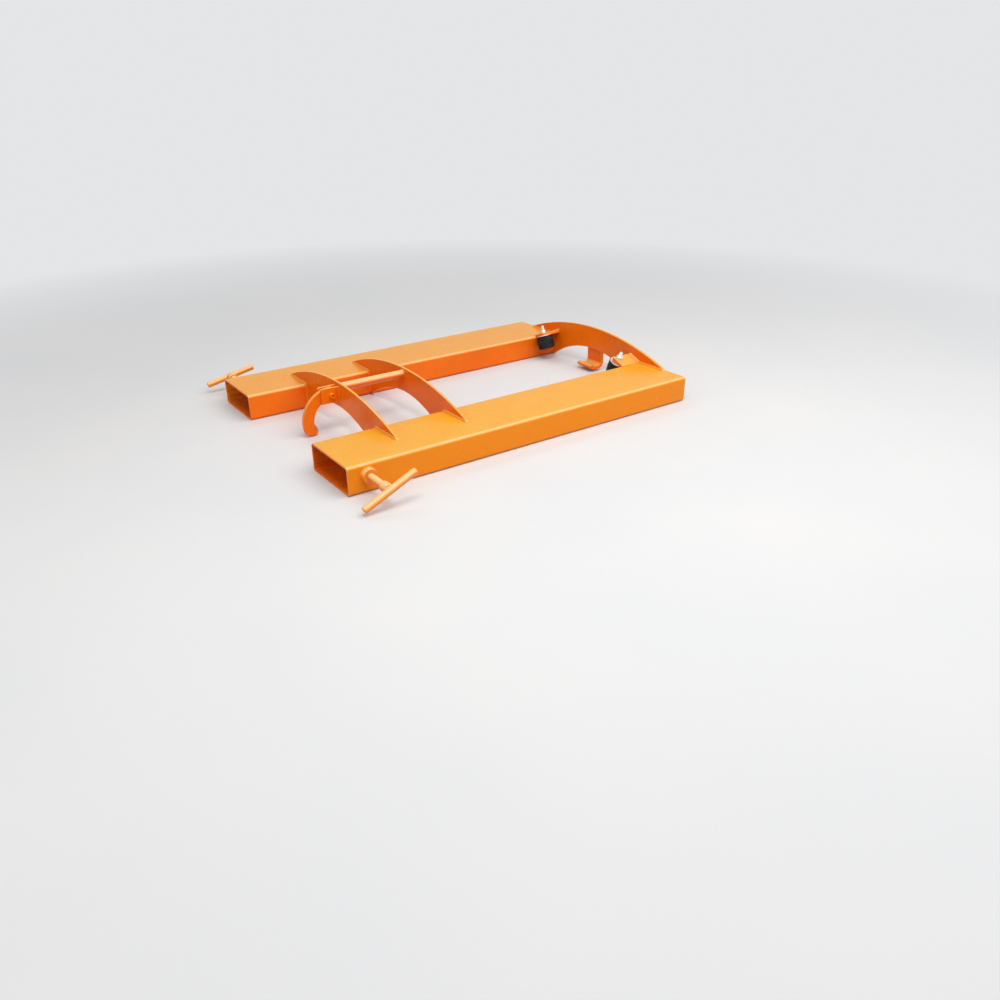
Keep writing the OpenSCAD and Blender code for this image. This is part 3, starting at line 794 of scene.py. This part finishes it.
# %% Fitting welds
FITTING_BEAD = 0.0036
SMALL_BEAD = 0.0026
BOSS_BEAD = 0.0016

rod_low, rod_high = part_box("tie_rod")
rod_mid = (rod_low + rod_high) / 2
rod_radius = (rod_high.z - rod_low.z) / 2
weld("tie_rod_weld", [
    (round_seam(Vector((rod_low.x, rod_mid.y, rod_mid.z)), X_AXIS, rod_radius), True),
    (round_seam(Vector((rod_high.x, rod_mid.y, rod_mid.z)), -X_AXIS, rod_radius), True),
], SMALL_BEAD)

for side_name, side in SIDES:
    out = side * Y_AXIS
    boss_low, boss_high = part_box(f"{side_name}_clamp_boss")
    boss_mid = (boss_low + boss_high) / 2
    boss_root = Vector((boss_mid.x, side * pocket_high.y, boss_mid.z))
    boss_seam = round_seam(boss_root, out, (boss_high.z - boss_low.z) / 2)
    weld(f"{side_name}_boss_weld", [(boss_seam, True)], BOSS_BEAD)

    lug_low, lug_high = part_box(f"{side_name}_hook_lug")
    lug_face = lug_low.y if side < 0 else lug_high.y
    lug_foot = Vector((lug_high.x, lug_face, lug_low.z))
    lug_top = Vector((lug_high.x, lug_face, lug_high.z))
    lug_seam = straight_seam(lug_foot, lug_top, -X_AXIS, out)
    weld(f"{side_name}_lug_weld", [(lug_seam, False)], FITTING_BEAD)
print("welded tie rod, bosses and lugs")

# %% [markdown]
# ## Weld of the claw
# The claw hangs on the front arch. Its leg is welded along both sides and across the top, but only
# where the arch is behind it: below the crest of the arch's round bay there is nothing to weld to.
# The beads therefore start just above that crest.

# %% Claw weld
BAY_CREST_DROP = 0.005
CLAW_SEAM_LIFT = 0.002

claw_low, claw_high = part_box("front_claw")
front_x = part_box("front_arch")[1].x
bay_crest = POCKET_TOP - BAY_CREST_DROP
claw_seams = []
for side in (-1, 1):
    claw_side = claw_low.y if side < 0 else claw_high.y
    low = Vector((front_x, claw_side, bay_crest + CLAW_SEAM_LIFT))
    high = Vector((front_x, claw_side, claw_high.z))
    claw_seams.append((straight_seam(low, high, X_AXIS, side * Y_AXIS), False))
top_right = Vector((front_x, claw_low.y, claw_high.z))
top_left = Vector((front_x, claw_high.y, claw_high.z))
claw_seams.append((straight_seam(top_right, top_left, X_AXIS, Z_AXIS), False))
weld("claw_weld", claw_seams, FITTING_BEAD)
print("welded the claw")

# %% [markdown]
# ## Welds of the tabs
# The buffers' tabs slope up from the pockets towards the middle, with one edge against the front
# arch's rear face. One bead joins each tab to the arch along that edge, and a thin one closes the
# low step where the tab laps onto the pocket. A box says nothing about a slope, so the seams'
# directions are worked out from its angle.

# %% Tab welds
TAB_SLOPE = math.radians(22)
TAB_LIFT = 0.0045
TAB_LAP = 0.009
TAB_REACH = 0.034
TAB_BEAD = 0.0034
LAP_BEAD = 0.0016

for side_name, side in SIDES:
    tab_low, tab_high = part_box(f"{side_name}_buffer_tab")
    uphill = Vector((0, -side * math.cos(TAB_SLOPE), math.sin(TAB_SLOPE)))
    off_tab = Vector((0, side * math.sin(TAB_SLOPE), math.cos(TAB_SLOPE)))
    tab_corner = Vector((tab_high.x, side * WALL_IN, POCKET_TOP + TAB_LIFT))
    lap_edge = tab_corner - TAB_LAP * uphill
    tab_seam = straight_seam(lap_edge, tab_corner + TAB_REACH * uphill, -X_AXIS, off_tab)
    # The tab beads take the paint with the painted highlight on faces that look up.
    weld(f"{side_name}_tab_weld", [(tab_seam, False)], TAB_BEAD, finish=grip_highlight_paint)

    lap_foot = lap_edge - (lap_edge.z - POCKET_TOP) / off_tab.z * off_tab
    lap_rear = Vector((tab_low.x, lap_foot.y, lap_foot.z))
    lap_seam = straight_seam(lap_rear, lap_foot, side * Y_AXIS, off_tab)
    weld(f"{side_name}_lap_weld", [(lap_seam, False)], LAP_BEAD)
print("welded the tabs")

# %% [markdown]
# ## Turned pieces
# Studs, spindles, nuts and rubber buffers are all made round an axis, on a lathe or in a mould.
# A spin of a profile would do for plain ones. Threads and hexagons change with the angle too, so
# `turned` takes stations whose radius and height may be functions of the angle. A profile that ends
# on the axis stops at a tiny radius, where a flat face closes it.

# %% Lathe helper
AROUND = 48
AXIS_R = 0.0005


def turned(stations, ring=False):
    """Points and faces round the local z axis, from stations of radius and height."""
    points = []
    for station in stations:
        for k in range(AROUND):
            angle = math.tau * k / AROUND
            radius, height = station(angle) if callable(station) else station
            points.append(Vector((radius * math.cos(angle), radius * math.sin(angle), height)))
    return points, bridge_rings(len(stations), AROUND, ring)


def on_axis(origin, axis, points):
    """Puts turned points on an axis in the frame, so that two flats of a hexagon face along X."""
    across = axis.cross(X_AXIS).normalized()
    turn = Matrix((X_AXIS, across, axis)).transposed()
    return [origin + turn @ p for p in points]


print("lathe helper ready")

# %% [markdown]
# ## Threads and hexagons
# A thread is a groove whose phase follows the angle, so that it climbs by one pitch a turn. It runs
# out smoothly at both ends, as a cut thread does. A nut is a hexagon whose corners are turned off by
# a cone of 30 degrees. Both could be cut out of a blank with booleans, but as stations they stay one
# clean skin.

# %% Thread and nut helpers
THREAD_STEPS = 6
SIXTH_TURN = math.pi / 3
NUT_CROWN = 0.475
NUT_CONE = math.tan(math.radians(30))
NUT_ENTRY = 0.0008
NUT_PLAY = 0.00005


def screw_thread(start, end, outer, depth, pitch):
    count = round((end - start) / pitch * THREAD_STEPS)

    def station(height):
        fade = min(1.0, (height - start) / pitch, (end - height) / pitch)

        def at(angle):
            phase = (height / pitch - angle / math.tau) % 1
            return outer - depth * max(0.0, fade) * (1 - abs(2 * phase - 1)), height
        return at
    return [station(start + (end - start) * k / count) for k in range(count + 1)]


def hexagon_edge(flats, height):
    """Station on the outline of a hexagon."""
    def at(angle):
        return flats / 2 / math.cos((angle + SIXTH_TURN / 2) % SIXTH_TURN - SIXTH_TURN / 2), height
    return at


def hexagon_nut(flats, bottom, top, bolt_r):
    """Stations of a nut for a bolt of the given radius."""
    crown = NUT_CROWN * flats
    bore = bolt_r + NUT_PLAY
    edge = hexagon_edge(flats, 0.0)

    def lower(angle):
        return edge(angle)[0], bottom + NUT_CONE * (edge(angle)[0] - crown)

    def upper(angle):
        return edge(angle)[0], top - NUT_CONE * (edge(angle)[0] - crown)

    hole = [(bore, bottom + NUT_ENTRY), (bore + NUT_ENTRY, bottom)]
    outside = [(crown, bottom), lower, upper, (crown, top)]
    return hole + outside + [(bore + NUT_ENTRY, top), (bore, top - NUT_ENTRY)]


print("thread and nut helpers ready")

# %% [markdown]
# ## Shape of the rubber buffers
# A buffer is a rubber block that is vulcanised to a zinc-plated disc with a stud. The stud passes
# through the sloped tab and carries a washer and a nut. Moulded rubber bulges a little, has a fine
# parting line where the mould halves met, and a soft edge and a shallow dish on its working face.
# Each shape is a list of stations, with height 0 on the tab's upper face.

# %% Buffer shapes
WASHER_T = 0.002
TAB_T = 0.008
DISC_T, DISC_R, DISC_RIM = 0.002, 0.0225, 0.0004
RUBBER_H, RUBBER_R = 0.038, 0.025
RUBBER_STEPS, RUBBER_INSET, RUBBER_BULGE, PARTING_LINE = 16, 0.0014, 0.0011, 0.0003
RUBBER_EDGE = ((0.0055, 0.0), (0.0032, 0.0004), (0.0020, 0.0014))
RUBBER_COLLAR = ((0.0008, 0.0010), (0.0004, 0.0))
DISH_R, DISH_RISE, DISH_MIDDLE_RISE = 0.0125, 0.0020, 0.0022
STUD_R, STUD_PITCH, STUD_DEPTH = 0.005, 0.0015, 0.0009
STUD_NUT_FLATS, STUD_NUT_H, STUD_TAIL = 0.017, 0.008, 0.012
STUD_END = WASHER_T + STUD_NUT_H + STUD_TAIL
THREAD_CLEAR = 0.001


def rubber_block():
    top = -TAB_T - DISC_T
    foot = top - RUBBER_H
    barrel = []
    for k in range(1, RUBBER_STEPS):
        share = k / RUBBER_STEPS
        bulge = RUBBER_BULGE * math.sin(math.pi * share)
        parting = PARTING_LINE if k == RUBBER_STEPS // 2 else 0.0
        barrel.append((RUBBER_R - RUBBER_INSET + bulge + parting, foot + RUBBER_H * share))
    dish = [(AXIS_R, foot + DISH_MIDDLE_RISE), (DISH_R, foot + DISH_RISE)]
    edge = [(RUBBER_R - inset, foot + rise) for inset, rise in RUBBER_EDGE]
    collar = [(RUBBER_R - inset, top - drop) for inset, drop in RUBBER_COLLAR]
    return turned(dish + edge + barrel + collar + [(AXIS_R, top)])


def disc_and_stud():
    top = -TAB_T
    foot = top - DISC_T
    disc = [(AXIS_R, foot), (DISC_R - DISC_RIM, foot), (DISC_R, foot + DISC_RIM)]
    disc += [(DISC_R, top - DISC_RIM), (DISC_R - DISC_RIM, top), (STUD_R, top)]
    thread = screw_thread(top + THREAD_CLEAR, STUD_END - THREAD_CLEAR, STUD_R, STUD_DEPTH, STUD_PITCH)
    tip = [(STUD_R - STUD_DEPTH, STUD_END), (AXIS_R, STUD_END)]
    return turned(disc + thread + tip)


def stud_nut():
    return turned(hexagon_nut(STUD_NUT_FLATS, WASHER_T, WASHER_T + STUD_NUT_H, STUD_R), ring=True)


print("stud length in mm:", round(MM_PER_M * (STUD_END + TAB_T), 1))

# %% [markdown]
# ## The two buffers in place
# The buffers stand square to the sloped tabs. Their axis needs no angle: it is the line from the
# middle of the rubber to the middle of the washer, and both middles are known from the solids.

# %% Buffers
def box_middle(node):
    low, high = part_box(node)
    return (low + high) / 2


for side_name in ("right", "left"):
    washer_mid = box_middle(f"{side_name}_buffer_washer")
    axis = (washer_mid - box_middle(f"{side_name}_buffer_rubber")).normalized()
    seat = washer_mid - WASHER_T / 2 * axis
    for part, shape, finish, slot in (
        ("rubber", rubber_block, rubber, "black_rubber"),
        ("stud", disc_and_stud, zinc, "zinc_plate"),
        ("nut", stud_nut, zinc, "zinc_plate"),
    ):
        points, faces = shape()
        node = f"{side_name}_buffer_{part}"
        piece = make_piece(f"{node}_detail", on_axis(seat, axis, points), faces, finish, "frame")
        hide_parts(node)
print("made two buffers")

# %% [markdown]
# ## Hook bolt
# The hook swings on a socket-head bolt that was painted over with the rest. Its round head has a
# six-sided socket, its nut has turned corners, and a few turns of thread stand out past the nut. The
# profile starts at the bottom of the socket, runs up its wall, over the head and along the shank, so
# the whole bolt is one closed skin.

# %% Hook bolt and nut
BOLT_R, BOLT_PITCH, BOLT_DEPTH, BOLT_TIP_CHAMFER = 0.004, 0.00125, 0.0008, 0.0009
BOLT_HEAD_R, BOLT_HEAD_H, BOLT_HEAD_EDGE = 0.0065, 0.008, 0.0007
BOLT_HEAD_ROUND = 0.3 * BOLT_HEAD_EDGE
SOCKET_FLATS, SOCKET_DEPTH, SOCKET_POINT = 0.006, 0.004, 0.0006
SOCKET_RIM, SOCKET_RIM_DROP = 0.0009, 0.0004
BOLT_NUT_FLATS, BOLT_NUT_H = 0.013, 0.0065
THREAD_INSIDE = 0.003

bolt_low, bolt_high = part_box("hook_bolt")
nut_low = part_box("hook_nut")[0]
pivot = box_middle("hook_bolt")
bolt_seat = Vector((pivot.x, bolt_low.y + BOLT_HEAD_H, pivot.z))
bolt_end = bolt_high.y - bolt_seat.y
nut_start = nut_low.y - bolt_seat.y
head_top = -BOLT_HEAD_H
socket_foot = head_top + SOCKET_DEPTH

socket = [
    (AXIS_R, socket_foot + SOCKET_POINT), hexagon_edge(SOCKET_FLATS, socket_foot),
    hexagon_edge(SOCKET_FLATS, head_top + SOCKET_RIM_DROP), (SOCKET_FLATS / 2 + SOCKET_RIM, head_top),
]
head = [
    (BOLT_HEAD_R - BOLT_HEAD_EDGE, head_top),
    (BOLT_HEAD_R - BOLT_HEAD_ROUND, head_top + BOLT_HEAD_ROUND),
    (BOLT_HEAD_R, head_top + BOLT_HEAD_EDGE), (BOLT_HEAD_R, 0.0),
]
shank = [(BOLT_R, 0.0)]
tail = screw_thread(nut_start - THREAD_INSIDE, bolt_end - THREAD_CLEAR, BOLT_R, BOLT_DEPTH, BOLT_PITCH)
tip = [(BOLT_R - BOLT_TIP_CHAMFER, bolt_end), (AXIS_R, bolt_end)]
bolt = socket + head + shank + tail + tip
nut = hexagon_nut(BOLT_NUT_FLATS, nut_start, nut_start + BOLT_NUT_H, BOLT_R)

for node, stations, ring in (("hook_bolt", bolt, False), ("hook_nut", nut, True)):
    points, faces = turned(stations, ring)
    points = on_axis(bolt_seat, Y_AXIS, points)
    piece = make_piece(f"{node}_detail", points, faces, paint, "frame")
    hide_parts(node)
print("bolt length in mm:", round(MM_PER_M * bolt_end, 1))

# %% [markdown]
# ## Shape of the clamp spindles
# Each clamp screw has a coarse thread under its paint, a grooved tip that carries the swivel pad,
# and a head that is hollowed across its end to seat the cross bar. The hollow could be cut with a
# boolean. Here it follows the bar: wherever the head's end would lie inside the bar, it is pressed
# down onto the bar's lower side.

# %% Spindle shape
SPINDLE_R, SPINDLE_PITCH, SPINDLE_DEPTH = 0.008, 0.002, 0.0008
SPINDLE_NECK = 0.002
TIP_R, TIP_L, TIP_EDGE = 0.006, 0.0063, 0.0005
TIP_GROOVE_R, TIP_GROOVE = 0.0051, (0.0021, 0.0039)
HEAD_R, HEAD_L, HEAD_CHAMFER = 0.012, 0.022, 0.0015
BAR_R, BAR_SEAT = 0.008, 0.003
SEAT_DROPS = (0.0045, 0.003, HEAD_CHAMFER)
SEAT_RINGS = 8


def seated(radius, height, end, tilt):
    """Station on the head's end that gives way to the cross bar."""
    bar_axis = end - BAR_SEAT + BAR_R

    def at(angle):
        beside = radius * math.sin(angle - tilt)
        if abs(beside) < BAR_R:
            return radius, min(height, bar_axis - math.sqrt(BAR_R ** 2 - beside ** 2))
        return radius, height
    return at


def spindle_profile(end, tilt):
    """Stations from the tip at 0 to the head's end."""
    shaft_end = end - HEAD_L
    groove_in, groove_out = TIP_GROOVE
    tip = [(AXIS_R, 0.0), (TIP_R - TIP_EDGE, 0.0), (TIP_R, TIP_EDGE)]
    tip += [(TIP_R, groove_in), (TIP_GROOVE_R, groove_in)]
    tip += [(TIP_GROOVE_R, groove_out), (TIP_R, groove_out)]
    tip += [(TIP_R, TIP_L), (SPINDLE_R - SPINDLE_DEPTH, TIP_L)]
    thread_start, thread_end = TIP_L + SPINDLE_DEPTH, shaft_end - SPINDLE_NECK
    shaft = screw_thread(thread_start, thread_end, SPINDLE_R, SPINDLE_DEPTH, SPINDLE_PITCH)
    face_r = HEAD_R - HEAD_CHAMFER
    head = [(SPINDLE_R, shaft_end), (face_r, shaft_end), (HEAD_R, shaft_end + HEAD_CHAMFER)]
    head += [seated(HEAD_R, end - drop, end, tilt) for drop in SEAT_DROPS]
    radii = [face_r * (1 - k / SEAT_RINGS) + AXIS_R for k in range(SEAT_RINGS + 1)]
    return tip + shaft + head + [seated(radius, end, end, tilt) for radius in radii]


print("spindle shape ready")

# %% [markdown]
# ## The two clamp screws in place
# The cross bars happen to rest at two different angles, and each head's hollow has to lie along its
# bar. Two short beads hold the bar in its seat. Spindle, bar and beads ride on the body of the
# screw, so they turn and feed together.

# %% Clamp spindles
BAR_TILT = {"right": math.radians(24), "left": math.radians(12)}
BAR_BEAD = 0.0024
BAR_RISE = BAR_R - BAR_SEAT

half_seat = math.sqrt(BAR_R ** 2 - BAR_RISE ** 2)
half_length = math.sqrt((HEAD_R - HEAD_CHAMFER) ** 2 - half_seat ** 2)
for side_name, side in SIDES:
    screw_body = f"{side_name}_screw"
    out = side * Y_AXIS
    low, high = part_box(f"{side_name}_clamp_spindle")
    middle = (low + high) / 2
    tip_y, end_y = (high.y, low.y) if side < 0 else (low.y, high.y)
    tilt = BAR_TILT[side_name]
    points, faces = turned(spindle_profile(abs(end_y - tip_y), -side * tilt))
    points = on_axis(Vector((middle.x, tip_y, middle.z)), out, points)
    # The spindle takes the paint with the painted highlight on faces that look up.
    spindle = make_piece(
        f"{side_name}_spindle_detail", points, faces, grip_highlight_paint, screw_body)
    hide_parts(f"{side_name}_clamp_spindle")

    bar_way = Vector((math.cos(tilt), 0, math.sin(tilt)))
    beside = bar_way.cross(out)
    end_middle = Vector((middle.x, end_y, middle.z))
    seams = []
    for way in (beside, -beside):
        seat_edge = end_middle + half_seat * way
        up_bar = (BAR_RISE * way + half_seat * out).normalized()
        seam_from, seam_to = seat_edge - half_length * bar_way, seat_edge + half_length * bar_way
        seams.append((straight_seam(seam_from, seam_to, way, up_bar), False))
    # The bar's beads take the paint with the painted highlight on faces that look up.
    weld(f"{side_name}_bar_weld", seams, BAR_BEAD, screw_body, grip_highlight_paint)
print("made two spindles")

# %% [markdown]
# ## Studio floor
# A plain pale floor carries the object's shadow. Near the object it is an ordinary lit surface.
# A floor with a rim would show a hard horizon, so further out it fades into the tone of the
# backdrop, but only where the viewer sees it, straight or mirrored. So it throws no extra light onto
# the object.

# %% Floor
FLOOR_DROP = 0.0006
FLOOR_RADIUS = 40.0
FLOOR_CORNERS = 96
FLOOR_PALE = (0.66, 0.66, 0.66, 1)
FLOOR_WARM = (0.69, 0.68, 0.67, 1)
FLOOR_SPOTS, FLOOR_ROUGHNESS = 2, 0.7
FLOOR_FADE_FROM, FLOOR_FADE_TO = 0.9, 2.6
BACKDROP = (0.97, 0.98, 1.0, 1)
WORLD_FILL, WORLD_SEEN = 0.28, 0.80


def seen_directly(tree):
    """1 for what the viewer sees straight, in a shiny face or through a clear one, otherwise 0."""
    ray = add(tree, "ShaderNodeLightPath")
    seen = math_node(tree, "MAXIMUM", ray.outputs["Is Camera Ray"], ray.outputs["Is Glossy Ray"])
    return math_node(tree, "MAXIMUM", seen, ray.outputs["Is Transmission Ray"])


def pale_floor():
    material, tree, shader = graph("pale_floor")
    tone = blend_colour(tree, patches(tree, FLOOR_SPOTS, SOFT_BAND), FLOOR_PALE, FLOOR_WARM)
    fill(tree, shader, {"Base Color": tone, "Roughness": FLOOR_ROUGHNESS})
    away = add(tree, "ShaderNodeVectorMath", {0: place(tree)}, operation="LENGTH").outputs["Value"]
    far = spread(tree, away, FLOOR_FADE_FROM, FLOOR_FADE_TO)
    glow = add(tree, "ShaderNodeEmission", {"Color": BACKDROP, "Strength": WORLD_SEEN})
    mix = add(tree, "ShaderNodeMixShader", {0: times(tree, far, seen_directly(tree))})
    tree.links.new(shader.outputs["BSDF"], mix.inputs[1])
    tree.links.new(glow.outputs["Emission"], mix.inputs[2])
    tree.links.new(mix.outputs["Shader"], tree.nodes["Material Output"].inputs["Surface"])
    return material


floor_points = []
for k in range(FLOOR_CORNERS):
    turn = math.tau * k / FLOOR_CORNERS
    floor_points.append((FLOOR_RADIUS * math.cos(turn), FLOOR_RADIUS * math.sin(turn), -FLOOR_DROP))
floor_mesh = bpy.data.meshes.new("floor")
floor_mesh.from_pydata(floor_points, [], [tuple(range(FLOOR_CORNERS))])
floor_mesh.materials.append(pale_floor())
floor = bpy.data.objects.new("floor", floor_mesh)
bpy.context.collection.objects.link(floor)
floor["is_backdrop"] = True
print("made the floor, radius in m:", FLOOR_RADIUS)

# %% [markdown]
# ## Studio light
# Large soft lamps show the finish without hard shadows. The main lamp is a wide softbox over the
# right side, because in the picture the long sides and the tops are bright and the rear faces of the
# arches are darker. A weak lamp on the left evens out the two pockets' tops, a small one over the
# rear lifts the tops near the viewer, and one behind the pocket mouths lifts the rear faces.

# %% Lamps
def soft_lamp(name, where, towards, size, power):
    """An area lamp of the given width and height that looks from one place to another."""
    data = bpy.data.lights.new(name, "AREA")
    data.shape = "RECTANGLE"
    data.size, data.size_y = size
    data.energy = power
    lamp = bpy.data.objects.new(name, data)
    lamp.location = where
    lamp.rotation_euler = (Vector(towards) - Vector(where)).to_track_quat("-Z", "Y").to_euler()
    bpy.context.collection.objects.link(lamp)


soft_lamp("softbox", where=(0.75, -1.4, 2.3), towards=(0.75, 0, 0.05), size=(3.4, 2.6), power=77)
soft_lamp("left_top", where=(0.1, 1.5, 2.2), towards=(0, 0.25, 0.05), size=(2.2, 1.0), power=11)
soft_lamp("rear_top", where=(-0.95, -1.15, 2.5), towards=(-0.4, -0.3, 0.05), size=(0.9, 0.6), power=15)
soft_lamp("rear_fill", where=(-2.6, -0.4, 1.3), towards=(0, 0, 0.05), size=(1.6, 1.4), power=12.5)
print("made four soft lamps")

# %% [markdown]
# ## The world round the studio
# The world gives a weak even fill, and what the viewer sees of it directly is pale. One plain
# strength could not do both, so it depends on the kind of ray. Colours stay as they are written with
# the standard view.

# %% World
world = bpy.data.worlds.new("studio")
bpy.context.scene.world = world
world.use_nodes = True
sky = world.node_tree
strength = spread(sky, seen_directly(sky), 0, 1, WORLD_FILL, WORLD_SEEN)
fill(sky, sky.nodes["Background"], {"Color": BACKDROP, "Strength": strength})
bpy.context.scene.view_settings.view_transform = "Standard"
print("world ready")

# %% [markdown]
# ## Last measure
# The dressed part has to keep the size of its solids, so its box's growth over theirs is printed.

# %% Sizes and finish
dressed_low, dressed_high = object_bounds()
growth = (dressed_high - dressed_low) - (cad_high - cad_low)
print("grown by mm:", [round(MM_PER_M * v, 2) for v in growth])
